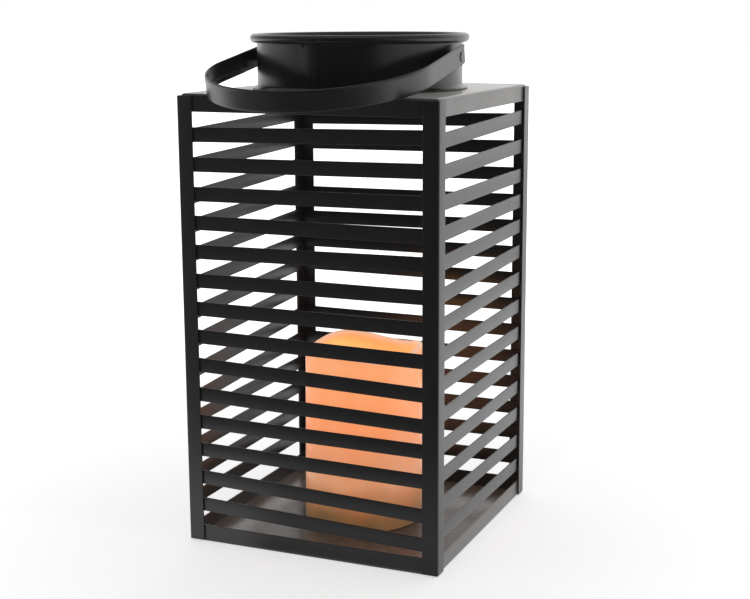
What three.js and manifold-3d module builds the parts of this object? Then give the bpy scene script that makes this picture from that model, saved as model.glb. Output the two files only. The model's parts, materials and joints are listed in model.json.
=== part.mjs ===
// Slatted steel candle lantern with a swinging strap handle and an LED pillar candle.
// Millimetres, +Z up. The origin is on the ground under the middle of the body.
// X runs along the front, the handle rests towards -Y.
import * as THREE from 'three';
import { mergeVertices } from 'three/addons/utils/BufferGeometryUtils.js';
import Module from 'manifold-3d';

const wasm = await Module();
wasm.setup();

// Body
const bodyWidth = 190;
const bodyHeight = 318.2;
const gap = 0.3;
const sheet = 1;

// Corner posts
const postThickness = 1.2;
const postFlange = 11.5;
// The posts stop just short of the tray's underside and of the plate's top face.
const postLow = 0.3;
const postHigh = bodyHeight - 1.5;
const postBend = 1.5;

// Pressed top plate and bottom tray, which fit inside the posts
const panHalf = bodyWidth / 2 - postThickness - gap;
const plateBend = 2.5;
const trayBend = 1.6;
const topFlange = 12.4;
const trayRail = 12.4;

// Slats
const slatCount = 14;
const slatPitch = 20.2;
const slatHeight = 10;
const slatFirst = 23.2;
const slatHalf = panHalf - sheet - 0.7;
const stileWidth = 4;
// The slats are welded on by eye. How far each one's ends are off the pitch, lowest slat first.
const slatOffset = {
  front: {
    left: [0, 0, 0, 0, 0, 1, 1, 0.5, 0, 0, 0, -0.5, -0.5, -0.5],
    right: [-7, -7, -3, -2.5, -5.5, -4.5, -2, -0.5, 0.5, 2, 0, 1, 1.5, 2.5],
  },
  right: {
    left: [0, 0, -0.5, -1, 0.5, 1.5, 1, 1, 0.5, 1.5, 0.5, 0.5, 0, 0],
    right: [-2, -3, -1, 0, 1.5, 2, 3, 4, 4.5, 3.5, 2, 1, 2.5, 4],
  },
  back: {
    left: [0, 0.5, 0, 0.5, 0.5, 1, 1, 1, 1, 1, 0.5, 0.5, 0.5, 0.5],
    right: [0, 0.5, 1, 1, 1.5, 2, 2, 2, 0.5, -0.5, -1, -1.5, -1.5, -2],
  },
  left: {
    left: [1.5, 2.5, 1.5, 1.5, 1.5, 2, 2.5, 2, 1, 1.5, 1, 1.5, 1.5, 1],
    right: [2, 0, 0, 0, -6, -7, -5.5, -5.5, -5, -4.5, -4.5, -4.5, -2.5, -2.5],
  },
};

// Collar: an open chimney with a rolled rim, standing on the top plate
const collarInner = 71.4;
const collarOuter = collarInner + sheet;
const collarFoot = 76;
const collarTop = 356.6;
const collarShift = -0.8;
const beadRadius = 2.8;
const footBend = 2.5;
// The wall's left end laps over its right end at the front.
const seamAngle = THREE.MathUtils.degToRad(1.5);
const seamLap = THREE.MathUtils.degToRad(9);
const seamRise = 0.7;
const plateHole = collarInner;

// Handle
const strapThickness = 1.2;
const strapWidth = 14.2;
const strapHalf = collarInner + 2 * beadRadius + gap + strapThickness;
const strapArm = 58.4;
const strapBow = 75;
const strapTail = 6;
// The left arm slopes to its pivot: it passes this far below the pivot and the right arm this far above.
const strapSkew = 0.9;
const strapHem = 4;
const hemStart = 23;
const handleTilt = THREE.MathUtils.degToRad(10.9);
const pivotHeight = 341;
const pivotForward = 6;
const pivotHole = 2.3;
const rivetShank = 2;
const rivetHead = 3.6;
const rivetBurr = 3.5;
const burrHeight = 1.2;
const spacerRadius = 4;

// LED pillar candle, standing on the tray
const candleFloor = sheet + gap;
const waxRadius = 43.2;
const waxFootRadius = 43.8;
const waxBottom = 0.6;
const rimGap = 0.1;
// How far the wax wall leans to the right and back at its top
const waxLean = [0.8, 0.35];
const waxTop = 129.7;
const waxWave = 3;
const waxWaveTurn = THREE.MathUtils.degToRad(15);
const recessFloor = 98;
const stalkRadius = 6;
const stalkWall = 1.6;
const stalkTop = 95;
const housingRadius = 36;
const housingHeight = 34;
const housingWall = 1.6;
const housingFloor = 2.5;
const doorRadius = 26.7;
const doorHole = doorRadius + gap;
const doorLow = 0.2;
const doorHigh = 2.2;
// The door's two lugs pass the notches in the housing, then turn over its floor.
const lugReach = 1.8;
const lugLow = 2.8;
const lugHigh = 4;
const lugHalfAngle = 0.1;
const notchHalfAngle = 0.12;
const notchTurns = [30, 210];
const coinSlot = { half: 9, width: 2, depth: 1.2 };

const batteryRadius = 7.1;
const batteryLength = 49;
const batteryAxis = 8.2;
const batteryLevel = 12;
const batteryShift = 1.9;
const nubRadius = 2.8;
const nubHeight = 0.9;
const holderWall = 28.4;
const holderHalf = 11.5;
const holderThickness = 1.6;
const holderLow = 6;
const lidLow = 22;
const lidHigh = 24;
const contactLow = 7;
const contactHigh = 18;
const contactThickness = 0.5;
const contactInner = 3;
const springLength = 3.8;
const springTurns = 3.5;
const springRadius = 4.6;
const springTaper = 1.6;
const springWire = 0.3;

const switchRadius = 31;
const switchTravel = 3;
const switchSlot = { half: 4.4, halfWidth: 1.8 };
const knob = { half: 2.5, halfWidth: 1.5, low: 0.4, high: 3 };
const keeper = { half: 4.4, halfWidth: 2.2, low: 2.8, high: 4 };

// Circuit board on two bosses of the battery holder's lid
const bossX = 20;
const bossY = 6;
const bossRadius = 2.2;
const bossTop = 26;
const boardLow = bossTop + gap;
const boardHigh = boardLow + 1.2;
const boardFrom = 10;
const boardTo = 28;
const boardHalf = 9;
const screwHole = 1.2;
const screwHead = 2;
const screwTop = 29.2;
const chip = { from: 16, to: 21, half: 3, high: 28.6 };
const ledFlange = 2.9;
const ledRadius = 2.5;
const ledHeight = 9;
const leadRadius = 0.6;
const leadOffset = 1.1;
const wireSlotHalf = 2;
const wireSlotLow = 25;
const wireSlotHigh = 33;

const steel = { color: 0x2b2b2d, roughness: 0.45, metalness: 0.4 };
const wax = { color: 0xf3d7b8, roughness: 0.55, metalness: 0 };
const darkPlastic = { color: 0x1f1d1b, roughness: 0.5, metalness: 0 };
const palePlastic = { color: 0xe9e4d8, roughness: 0.5, metalness: 0 };
const board = { color: 0x2f6b3c, roughness: 0.6, metalness: 0 };
const lens = { color: 0xf6c25a, roughness: 0.2, metalness: 0 };
const spring = { color: 0xc9c9c4, roughness: 0.3, metalness: 1 };
const cell = { color: 0x3d6f8f, roughness: 0.35, metalness: 0.5 };
const redWire = { color: 0xa3241c, roughness: 0.5, metalness: 0 };
const blackWire = { color: 0x18181a, roughness: 0.5, metalness: 0 };

// ---------- geometry helpers ----------

function toSolid(geometry) {
  let bare = geometry.clone();
  bare.deleteAttribute('normal');
  bare.deleteAttribute('uv');
  bare = mergeVertices(bare, 1e-4);
  const mesh = new wasm.Mesh({
    numProp: 3,
    vertProperties: new Float32Array(bare.attributes.position.array),
    triVerts: new Uint32Array(bare.index.array),
  });
  return new wasm.Manifold(mesh);
}

function toGeometry(solid) {
  const mesh = solid.getMesh();
  const geometry = new THREE.BufferGeometry();
  geometry.setAttribute('position', new THREE.BufferAttribute(new Float32Array(mesh.vertProperties), 3));
  geometry.setIndex(new THREE.BufferAttribute(new Uint32Array(mesh.triVerts), 1));
  geometry.computeVertexNormals();
  return geometry;
}

function join(...geometries) {
  return toGeometry(geometries.map(toSolid).reduce((sum, solid) => sum.add(solid)));
}

function cut(geometry, ...tools) {
  return toGeometry(tools.map(toSolid).reduce((rest, tool) => rest.subtract(tool), toSolid(geometry)));
}

function overlap(first, second) {
  return toGeometry(toSolid(first).intersect(toSolid(second)));
}

// A box between two corners.
function block(low, high) {
  const size = high.map((value, i) => value - low[i]);
  const middle = high.map((value, i) => (value + low[i]) / 2);
  return new THREE.BoxGeometry(...size).translate(...middle);
}

// An outline in the XY plane, raised from one level to another.
function raise(shape, from, to, curveSegments = 12) {
  const geometry = new THREE.ExtrudeGeometry(shape, { depth: to - from, bevelEnabled: false, curveSegments });
  return geometry.translate(0, 0, from);
}

// A closed profile of [radius, height] pairs turned about Z.
function turn(profile, segments) {
  const points = profile.map(([radius, height]) => new THREE.Vector2(radius, height));
  return new THREE.LatheGeometry(points, segments).rotateX(Math.PI / 2);
}

// A round bar along Z or, with along = 'x', along X.
function bar(radius, from, to, segments = 24, along = 'z') {
  const geometry = new THREE.CylinderGeometry(radius, radius, to - from, segments).rotateX(Math.PI / 2);
  geometry.translate(0, 0, (from + to) / 2);
  return along === 'x' ? geometry.rotateY(Math.PI / 2) : geometry;
}

function part(name, geometry, finish) {
  const mesh = new THREE.Mesh(geometry, new THREE.MeshStandardMaterial(finish));
  mesh.name = name;
  return mesh;
}

function sector(inner, outer, from, to) {
  const shape = new THREE.Shape();
  shape.absarc(0, 0, outer, from, to, false);
  shape.absarc(0, 0, inner, to, from, true);
  return shape;
}

// ---------- sheet metal ----------

function cornerPost() {
  const outer = bodyWidth / 2;
  const inner = outer - postThickness;
  const end = outer - postFlange;
  const shape = new THREE.Shape();
  shape.moveTo(end, outer);
  shape.lineTo(end, inner);
  shape.lineTo(inner, inner);
  shape.lineTo(inner, end);
  shape.lineTo(outer, end);
  shape.lineTo(outer, outer - postBend);
  shape.absarc(outer - postBend, outer - postBend, postBend, 0, Math.PI / 2, false);
  return raise(shape, postLow, postHigh, 4);
}

// One face's profile of a pressed pan, open below, with both upper edges rounded.
function panProfile(half, low, high, bend) {
  const shape = new THREE.Shape();
  shape.moveTo(-half, low);
  shape.lineTo(half, low);
  shape.lineTo(half, high - bend);
  shape.absarc(half - bend, high - bend, bend, 0, Math.PI / 2, false);
  shape.absarc(-half + bend, high - bend, bend, Math.PI / 2, Math.PI, false);
  return raise(shape, -half, half, 4).rotateX(Math.PI / 2);
}

function panBlock(half, low, high, bend) {
  const alongY = panProfile(half, low, high, bend);
  return overlap(alongY, alongY.clone().rotateZ(Math.PI / 2));
}

// A pan open below, of the sheet's thickness: a top face with flanges turned down.
function pan(depth, bend) {
  const outside = panBlock(panHalf, 0, depth, bend);
  const inside = panBlock(panHalf - sheet, -1, depth - sheet, bend - sheet);
  return cut(outside, inside);
}

function topPlate() {
  const plate = pan(topFlange, plateBend).translate(0, 0, bodyHeight - topFlange);
  return cut(plate, bar(plateHole, bodyHeight - 5, bodyHeight + 5, 56).translate(collarShift, 0, 0));
}

function bottomTray() {
  return pan(trayRail, trayBend).rotateX(Math.PI).translate(0, 0, trayRail);
}

// A slat's bottom edge at either end.
function slatEdge(index, offset) {
  const level = slatFirst + index * slatPitch;
  return { left: level + offset.left[index], right: level + offset.right[index] };
}

// One side's slats, joined at their ends by stiles that the posts cover.
function slatPanel(offset) {
  const first = slatEdge(0, offset);
  const last = slatEdge(slatCount - 1, offset);
  const shape = new THREE.Shape();
  shape.moveTo(-slatHalf, first.left);
  shape.lineTo(slatHalf, first.right);
  shape.lineTo(slatHalf, last.right + slatHeight);
  shape.lineTo(-slatHalf, last.left + slatHeight);
  const openEnd = slatHalf - stileWidth;
  for (let i = 0; i < slatCount - 1; i += 1) {
    const below = slatEdge(i, offset);
    const above = slatEdge(i + 1, offset);
    const hole = new THREE.Path();
    hole.moveTo(-openEnd, below.left + slatHeight);
    hole.lineTo(-openEnd, above.left);
    hole.lineTo(openEnd, above.right);
    hole.lineTo(openEnd, below.right + slatHeight);
    shape.holes.push(hole);
  }
  return raise(shape, panHalf - sheet, panHalf).rotateX(Math.PI / 2);
}

function collarProfile() {
  const foot = bodyHeight + gap;
  const beadMiddle = collarInner + beadRadius;
  const beadLevel = collarTop - beadRadius;
  const profile = [[collarInner, foot], [collarFoot, foot], [collarFoot, foot + sheet]];
  for (let i = 0; i <= 4; i += 1) {
    const angle = (Math.PI / 2) * (i / 4);
    const radius = collarOuter + footBend - footBend * Math.sin(angle);
    profile.push([radius, foot + sheet + footBend - footBend * Math.cos(angle)]);
  }
  const start = Math.PI + Math.acos((beadMiddle - collarOuter) / beadRadius);
  for (let i = 0; i <= 12; i += 1) {
    const angle = start + (3 * Math.PI - start) * (i / 12);
    profile.push([beadMiddle + beadRadius * Math.cos(angle), beadLevel + beadRadius * Math.sin(angle)]);
  }
  profile.push([collarInner, foot]);
  return profile;
}

function collar() {
  const body = turn(collarProfile(), 56);
  const front = -Math.PI / 2;
  const seam = front + seamAngle;
  const lapShape = sector(collarOuter - sheet / 2, collarOuter + seamRise, seam - seamLap, seam);
  const lap = raise(lapShape, bodyHeight + sheet + footBend, collarTop - 2 * beadRadius + sheet, 6);
  const pivots = bar(pivotHole, -collarOuter - 5, collarOuter + 5, 16, 'x');
  pivots.translate(0, -pivotForward, pivotHeight);
  return cut(join(body, lap), pivots);
}

// ---------- handle ----------

// The band between two U shapes, in the plane of the handle: X across, -Y forward.
function strapBand(outerHalf, thickness, tail) {
  const innerHalf = outerHalf - thickness;
  const shape = new THREE.Shape();
  shape.moveTo(outerHalf, tail);
  shape.lineTo(innerHalf, tail);
  shape.lineTo(innerHalf, -strapArm);
  shape.absellipse(0, -strapArm, innerHalf, strapBow - thickness, 0, -Math.PI, true, 0);
  shape.lineTo(-innerHalf, tail);
  shape.lineTo(-outerHalf, tail);
  shape.lineTo(-outerHalf, -strapArm);
  shape.absellipse(0, -strapArm, outerHalf, strapBow, Math.PI, 2 * Math.PI, false, 0);
  return shape;
}

// Lifts the strap by the skew and slopes its left arm down to the same distance below the pivot.
function skewed(geometry) {
  const points = geometry.attributes.position;
  for (let i = 0; i < points.count; i += 1) {
    const share = Math.max(0, (points.getY(i) + strapArm) / strapArm);
    const drop = points.getX(i) < 0 ? 2 * strapSkew * share : 0;
    points.setZ(i, points.getZ(i) + strapSkew - drop);
  }
  return geometry;
}

function handleStrap() {
  const band = raise(strapBand(strapHalf, strapThickness, strapTail), -strapWidth / 2, strapWidth / 2, 40);
  // The folded edge lies on the inner face and is a little sunk into it, so that the two join.
  const hemOuter = strapHalf - strapThickness + 0.4;
  const innerBow = strapBand(hemOuter, strapThickness, -hemStart);
  const hem = raise(innerBow, -strapWidth / 2, -strapWidth / 2 + strapHem, 40);
  return cut(skewed(join(band, hem)), bar(pivotHole, -strapHalf - 5, strapHalf + 5, 16, 'x'));
}

// A rivet through the collar and the strap: a burr inside, a domed head outside.
function pivotRivet(side) {
  const burr = Math.sqrt(collarInner ** 2 - (pivotForward + rivetBurr) ** 2) - gap;
  const head = strapHalf + gap;
  const profile = [
    [0, burr - burrHeight], [rivetBurr - 0.5, burr - burrHeight], [rivetBurr, burr - burrHeight + 0.5],
    [rivetBurr, burr], [rivetShank, burr], [rivetShank, head], [rivetHead, head],
    [rivetHead - 0.2, head + 0.6], [rivetHead - 1.6, head + 1], [0, head + 1.1],
  ];
  return turn(profile, 16).rotateY(side * Math.PI / 2).translate(0, -pivotForward, pivotHeight);
}

function pivotSpacer(side) {
  const near = collarOuter + gap;
  const far = strapHalf - strapThickness - gap;
  const profile = [
    [pivotHole, near], [spacerRadius, near], [spacerRadius, far], [pivotHole, far], [pivotHole, near],
  ];
  return turn(profile, 16).rotateY(side * Math.PI / 2).translate(0, -pivotForward, pivotHeight);
}

// ---------- candle ----------

// The melted edge rises and dips three times round the candle.
function waveRim(geometry) {
  const position = geometry.attributes.position;
  for (let i = 0; i < position.count; i += 1) {
    const angle = Math.atan2(position.getY(i), position.getX(i));
    const share = THREE.MathUtils.smoothstep(position.getZ(i), recessFloor + 6, waxTop);
    const lift = waxWave * Math.cos(3 * (angle - waxWaveTurn)) * share;
    position.setZ(i, position.getZ(i) + lift);
  }
  return geometry;
}

// Only the wall leans; the hole for the stalk and the hollow for the housing stay upright.
function leaning(geometry) {
  const position = geometry.attributes.position;
  for (let i = 0; i < position.count; i += 1) {
    const radius = Math.hypot(position.getX(i), position.getY(i));
    const share = radius > housingRadius + 2 * gap ? position.getZ(i) / waxTop : 0;
    position.setX(i, position.getX(i) + waxLean[0] * share);
    position.setY(i, position.getY(i) + waxLean[1] * share);
  }
  return geometry;
}

function waxShell() {
  const cavity = housingRadius + gap;
  const profile = [
    [cavity, waxBottom], [waxFootRadius - 1, waxBottom], [waxFootRadius, waxBottom + 1],
    [waxFootRadius - 0.2, 40], [waxFootRadius - 0.4, 80], [waxRadius + 0.1, 110], [waxRadius, 122],
    [waxRadius - 0.6, waxTop - 1.6], [waxRadius - 2, waxTop], [waxRadius - 3.4, waxTop - 0.8],
    [waxRadius - 4.6, waxTop - 4], [waxRadius - 5.4, 114], [waxRadius - 6.5, recessFloor + 5],
    [waxRadius - 12, recessFloor], [stalkRadius + gap, recessFloor],
    [stalkRadius + gap, housingHeight + 3], [cavity, housingHeight + 2], [cavity, waxBottom],
  ];
  return leaning(waveRim(turn(profile, 60)));
}

// The dark base under the wax, with the door's opening, its two notches and the switch slot.
function baseHousing() {
  const inner = housingRadius - housingWall;
  const rim = waxRadius - 2;
  const rimTop = waxBottom - rimGap;
  const profile = [
    [doorHole, 0], [rim, 0], [rim, rimTop], [housingRadius, rimTop], [housingRadius, housingHeight],
    [inner, housingHeight], [inner, housingFloor], [doorHole, housingFloor], [doorHole, 0],
  ];
  const through = [-1, housingFloor + 1];
  const notchShape = sector(doorHole - 2, doorHole + 2, -notchHalfAngle, notchHalfAngle);
  const notch = raise(notchShape, ...through, 3);
  const notches = notchTurns.map((turned) => notch.clone().rotateZ(THREE.MathUtils.degToRad(turned)));
  const slot = block(
    [-switchSlot.half, -switchRadius - switchSlot.halfWidth, through[0]],
    [switchSlot.half, -switchRadius + switchSlot.halfWidth, through[1]],
  );
  return cut(turn(profile, 48), ...notches, slot);
}

function batteryDoor() {
  const disc = bar(doorRadius, doorLow, doorHigh, 48);
  const lugInner = doorRadius - 4;
  const lug = raise(sector(lugInner, doorRadius + lugReach, -lugHalfAngle, lugHalfAngle), lugLow, lugHigh, 3);
  const neck = sector(lugInner, doorRadius - 0.1, -lugHalfAngle, lugHalfAngle);
  const riser = raise(neck, doorHigh - 0.2, lugLow + 0.2, 3);
  const pair = [lug, riser].flatMap((piece) => [piece, piece.clone().rotateZ(Math.PI)]);
  const { half, width, depth } = coinSlot;
  const slot = block([-half, -width / 2, 0], [half, width / 2, depth]);
  return cut(join(disc, ...pair), slot);
}

// A box on the switch's place, from its half length, half width and two levels.
function switchBlock(middle, size) {
  return block(
    [middle - size.half, -switchRadius - size.halfWidth, size.low],
    [middle + size.half, -switchRadius + size.halfWidth, size.high],
  );
}

function switchSlider() {
  const start = -switchTravel / 2;
  return join(switchBlock(start, knob), switchBlock(start, keeper));
}

// The battery holder's lid and end walls, the LED's stalk and the board's bosses, in one moulding.
function ledHolder() {
  const lid = bar(housingRadius - housingWall - gap, lidLow, lidHigh, 48);
  const stalk = bar(stalkRadius, lidHigh - 1, stalkTop, 20);
  const bore = bar(stalkRadius - stalkWall, lidLow - 2, stalkTop + 1, 20);
  const wireSlot = block([0, -wireSlotHalf, wireSlotLow], [stalkRadius + 1, wireSlotHalf, wireSlotHigh]);
  const endWalls = [-1, 1].map((side) => {
    const faces = [side * holderWall, side * (holderWall + holderThickness)];
    return block([Math.min(...faces), -holderHalf, holderLow], [Math.max(...faces), holderHalf, lidLow + 1]);
  });
  const bosses = [-bossY, bossY].map((y) => bar(bossRadius, lidHigh - 1, bossTop, 12).translate(bossX, y, 0));
  return cut(join(lid, stalk, ...endWalls, ...bosses), bore, wireSlot);
}

// An AA cell along X. Side 1 has its positive end towards +X, side -1 the other way round.
function battery(side) {
  const half = batteryLength / 2;
  const profile = [
    [0, -half], [batteryRadius - 0.6, -half], [batteryRadius, -half + 0.6], [batteryRadius, half - 1],
    [batteryRadius - 0.8, half - 0.4], [nubRadius, half - 0.2], [nubRadius - 0.2, half + nubHeight],
    [0, half + nubHeight],
  ];
  const laid = turn(profile, 24).rotateY(side * Math.PI / 2);
  return laid.translate(side * batteryShift, side * batteryAxis, batteryLevel);
}

// A coil spring between the flat end of a cell and its contact plate.
function contactSpring(side) {
  class Helix extends THREE.Curve {
    getPoint(t) {
      const angle = t * springTurns * 2 * Math.PI;
      const radius = springRadius - springTaper * t;
      return new THREE.Vector3(radius * Math.cos(angle), radius * Math.sin(angle), springLength * t);
    }
  }
  const wire = new THREE.Shape();
  wire.absarc(0, 0, springWire, 0, 2 * Math.PI, false);
  const options = { steps: 30, curveSegments: 3, extrudePath: new Helix() };
  const coil = new THREE.ExtrudeGeometry(wire, options).rotateY(side * Math.PI / 2);
  const foot = holderWall - gap - contactThickness - 2 * springWire;
  return coil.translate(-side * foot, side * batteryAxis, batteryLevel);
}

function contactPlate(side, fromY, toY) {
  const faces = [side * (holderWall - gap), side * (holderWall - gap - contactThickness)];
  return block([Math.min(...faces), fromY, contactLow], [Math.max(...faces), toY, contactHigh]);
}

function circuitBoard() {
  const plate = block([boardFrom, -boardHalf, boardLow], [boardTo, boardHalf, boardHigh]);
  const driver = block([chip.from, -chip.half, boardHigh - gap], [chip.to, chip.half, chip.high]);
  const hole = bar(screwHole, boardLow - 1, boardHigh + 1, 12);
  const holes = [-bossY, bossY].map((y) => hole.clone().translate(bossX, y, 0));
  return cut(join(plate, driver), ...holes);
}

function boardScrew(side) {
  const seat = boardHigh + gap;
  const profile = [
    [0, seat], [screwHead, seat], [screwHead, seat + 0.6], [screwHead - 0.8, screwTop], [0, screwTop],
  ];
  return turn(profile, 12).translate(bossX, side * bossY, 0);
}

function ledBulb() {
  const seat = stalkTop + gap;
  const shoulder = seat + 1;
  const top = stalkTop + ledHeight;
  const profile = [
    [0, seat], [ledFlange, seat], [ledFlange, shoulder], [ledRadius, shoulder],
    [ledRadius, top - ledRadius], [ledRadius * 0.72, top - 0.7], [0, top],
  ];
  return turn(profile, 16);
}

// A lead from the board through the slot in the stalk and up to the bulb.
function ledLead(side) {
  const y = side * leadOffset;
  const path = new THREE.CatmullRomCurve3([
    new THREE.Vector3(12, y, 28.4),
    new THREE.Vector3(9, y, 30.2),
    new THREE.Vector3(5, y, 30.4),
    new THREE.Vector3(1.8, y, 33),
    new THREE.Vector3(1.2, y, 44),
    new THREE.Vector3(1.2, y, stalkTop - 0.5),
  ]);
  const wire = new THREE.Shape();
  wire.absarc(0, 0, leadRadius, 0, 2 * Math.PI, false);
  return new THREE.ExtrudeGeometry(wire, { steps: 24, curveSegments: 4, extrudePath: path });
}

// ---------- assembly ----------

const lantern = new THREE.Group();

lantern.add(part('top_plate', topPlate(), steel));
lantern.add(part('bottom_tray', bottomTray(), steel));

['back_right', 'back_left', 'front_left', 'front_right'].forEach((place, quarter) => {
  const post = part(`corner_post_${place}`, cornerPost(), steel);
  post.rotation.z = quarter * Math.PI / 2;
  lantern.add(post);
});

['front', 'right', 'back', 'left'].forEach((face, quarter) => {
  const panel = part(`slat_panel_${face}`, slatPanel(slatOffset[face]), steel);
  panel.rotation.z = quarter * Math.PI / 2;
  lantern.add(panel);
});

// The collar and the handle sit a little off the middle of the top plate.
const chimney = new THREE.Group();
chimney.position.x = collarShift;
chimney.add(part('collar', collar(), steel));
for (const [place, side] of [['left', -1], ['right', 1]]) {
  chimney.add(part(`pivot_rivet_${place}`, pivotRivet(side), steel));
  chimney.add(part(`pivot_spacer_${place}`, pivotSpacer(side), steel));
}
const handle = new THREE.Group();
handle.position.set(0, -pivotForward, pivotHeight);
handle.rotation.x = handleTilt;
handle.add(part('handle_strap', handleStrap(), steel));
chimney.add(handle);
lantern.add(chimney);

const candle = new THREE.Group();
candle.position.z = candleFloor;
candle.add(part('candle_wax_shell', waxShell(), wax));
candle.add(part('candle_base_housing', baseHousing(), darkPlastic));
candle.add(part('candle_battery_door', batteryDoor(), darkPlastic));
candle.add(part('candle_switch_slider', switchSlider(), palePlastic));
candle.add(part('candle_led_holder', ledHolder(), palePlastic));
candle.add(part('candle_circuit_board', circuitBoard(), board));
candle.add(part('candle_led', ledBulb(), lens));
candle.add(part('candle_contact_bridge', contactPlate(1, -holderHalf, holderHalf), spring));
candle.add(part('candle_contact_positive', contactPlate(-1, -holderHalf, -contactInner), spring));
candle.add(part('candle_contact_negative', contactPlate(-1, contactInner, holderHalf), spring));
for (const [letter, side, finish] of [['a', -1, redWire], ['b', 1, blackWire]]) {
  candle.add(part(`candle_battery_${letter}`, battery(side), cell));
  candle.add(part(`candle_contact_spring_${letter}`, contactSpring(side), spring));
  candle.add(part(`candle_board_screw_${letter}`, boardScrew(side), spring));
  candle.add(part(`candle_led_lead_${letter}`, ledLead(side), finish));
}
lantern.add(candle);

export default lantern;
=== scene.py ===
"""Candle lantern: the looks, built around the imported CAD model. Metres, +Z up, same frame as the CAD."""

import json
import math

import bpy
import bmesh
from mathutils import Matrix, Vector, noise


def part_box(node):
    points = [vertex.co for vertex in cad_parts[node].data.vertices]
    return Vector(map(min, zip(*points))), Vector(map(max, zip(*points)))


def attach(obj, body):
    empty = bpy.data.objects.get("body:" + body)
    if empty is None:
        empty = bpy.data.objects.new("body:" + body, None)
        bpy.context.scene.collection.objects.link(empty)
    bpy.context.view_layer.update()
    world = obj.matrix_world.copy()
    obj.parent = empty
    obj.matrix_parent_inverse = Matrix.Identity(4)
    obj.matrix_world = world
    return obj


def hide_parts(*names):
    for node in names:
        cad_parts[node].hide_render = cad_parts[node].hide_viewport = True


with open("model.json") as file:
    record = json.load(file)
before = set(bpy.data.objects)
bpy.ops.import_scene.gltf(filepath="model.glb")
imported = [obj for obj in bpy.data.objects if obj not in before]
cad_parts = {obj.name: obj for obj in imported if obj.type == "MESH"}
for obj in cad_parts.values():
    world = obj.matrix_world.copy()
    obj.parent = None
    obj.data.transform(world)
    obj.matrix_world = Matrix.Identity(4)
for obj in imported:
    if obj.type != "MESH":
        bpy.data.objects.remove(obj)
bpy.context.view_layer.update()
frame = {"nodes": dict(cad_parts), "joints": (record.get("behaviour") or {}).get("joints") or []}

MM = 0.001
TAU = 2 * math.pi
QUARTER = math.pi / 2
# Multiplying by this drops a vector's height
FLAT = (1, 1, 0)
WHITE = (1, 1, 1)
# Edges with a larger angle, in degrees, are shaded as creases
SHARP = 35

# Pressed plate and tray
SHEET = 1.0 * MM
PLATE_BEND = 2.5 * MM
PLATE_RIPPLE = 0.12 * MM
TRAY_BEND = 1.6 * MM
PAN_EDGE = 0.25 * MM
PAN_CORNER = 3.0 * MM
PAN_CORNER_LEAST = 1.2 * MM

# Posts and slats. Each face is a number of quarter turns from the front.
FACES = {"front": 0, "right": 1, "back": 2, "left": 3}
POST_EDGE = 0.28 * MM
POST_FOOT_RISE = 0.8 * MM
SLAT_EDGE = 0.26 * MM
SLAT_BOW = 0.22 * MM
SLAT_SAG = 0.25 * MM

# Collar
COLLAR_INNER = 71.4 * MM
COLLAR_FOOT = 76 * MM
COLLAR_BEND = 2.6 * MM
COLLAR_STEPS = 300
COLLAR_RIPPLE = 0.10 * MM
SEAM = math.radians(-88.5)
SEAM_START = math.radians(0.12)
SEAM_END = math.radians(0.02)
LAP = math.radians(13)
LAP_RISE = 0.75 * MM
NOTCH = 0.55 * MM
NOTCH_REACH = math.radians(1)
SEAM_SAG = 0.6 * MM
SEAM_SAG_REACH = math.radians(9)
# The rim's outer edge hangs below a full circle by the droop, give or take the wave
BEAD_DROOP = 0.35 * MM
BEAD_WAVE = 0.75 * MM
BEAD_DENT = 0.2 * MM

# Handle
HANDLE_TILT = math.radians(10.9)
STRAP_ARM = 58.4 * MM
STRAP_BOW = 75 * MM
STRAP_TAIL = 6.0 * MM
STRAP_SKEW = 0.9 * MM
STRAP_WIDTH = 14.2 * MM
STRAP_SHEET = 1.2 * MM
STRAP_WOBBLE = 0.12 * MM
HEM_FOLD = 0.8 * MM
HEM_START = 25 * MM
HEM_FULL = 32 * MM
RIVET_HEAD = 0.5 * MM
RIVET_HEAD_RADIUS = 3.6 * MM
RIVET_SHANK = 2 * MM
BURR_RADIUS = 3.5 * MM
BURR_HEIGHT = 1.2 * MM
SPACER_INNER = 2.3 * MM
SPACER_OUTER = 4 * MM

# Candle
WAX_FOOT = 43.8 * MM
WAX_RADIUS = 43.2 * MM
WAX_LEAN = Vector((0.8 * MM, 0.35 * MM, 0))
WAX_WAVE = 3 * MM
WAX_WAVE_TURN = math.radians(15)
WAX_FLOOR = 97.4 * MM
WAX_ROOF = 35.4 * MM
WAX_STALK = 6.3 * MM
WAX_CAVITY = 36.3 * MM
# The lip's outline over its crest into the hollow: (inset, drop) in millimetres
WAX_LIP = [
    (0.15, 2.2), (0.5, 1.2), (1.0, 0.5), (1.7, 0.08), (2.4, 0.0), (3.0, 0.35), (3.6, 1.1),
    (4.1, 2.3), (4.6, 4.2), (5.0, 8), (5.4, 14), (5.8, 20),
]
# Where the glow of the walls gives way to the hollow's and the crest's
HOLLOW_RADIUS = (38.6 * MM, 37.2 * MM)
HOLLOW_HEIGHT = (92 * MM, 100 * MM)
CREST_HEIGHT = (118 * MM, 122 * MM)
MOULDED_EDGE = 0.18 * MM
LED_FLANGE = 2.9 * MM
LED_LENS = 2.5 * MM

# Powder coat
COAT_DARK = (0.0036, 0.0036, 0.0040)
COAT_LIGHT = (0.0056, 0.0055, 0.0058)
COAT_ROUGHNESS = 0.30
# A faint painted glow on the black coat, standing in for the veil of light that bright surroundings put over
# black
PAINTED_VEIL_GLOW = 0.0026
DUST = (0.45, 0.42, 0.38)
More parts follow.
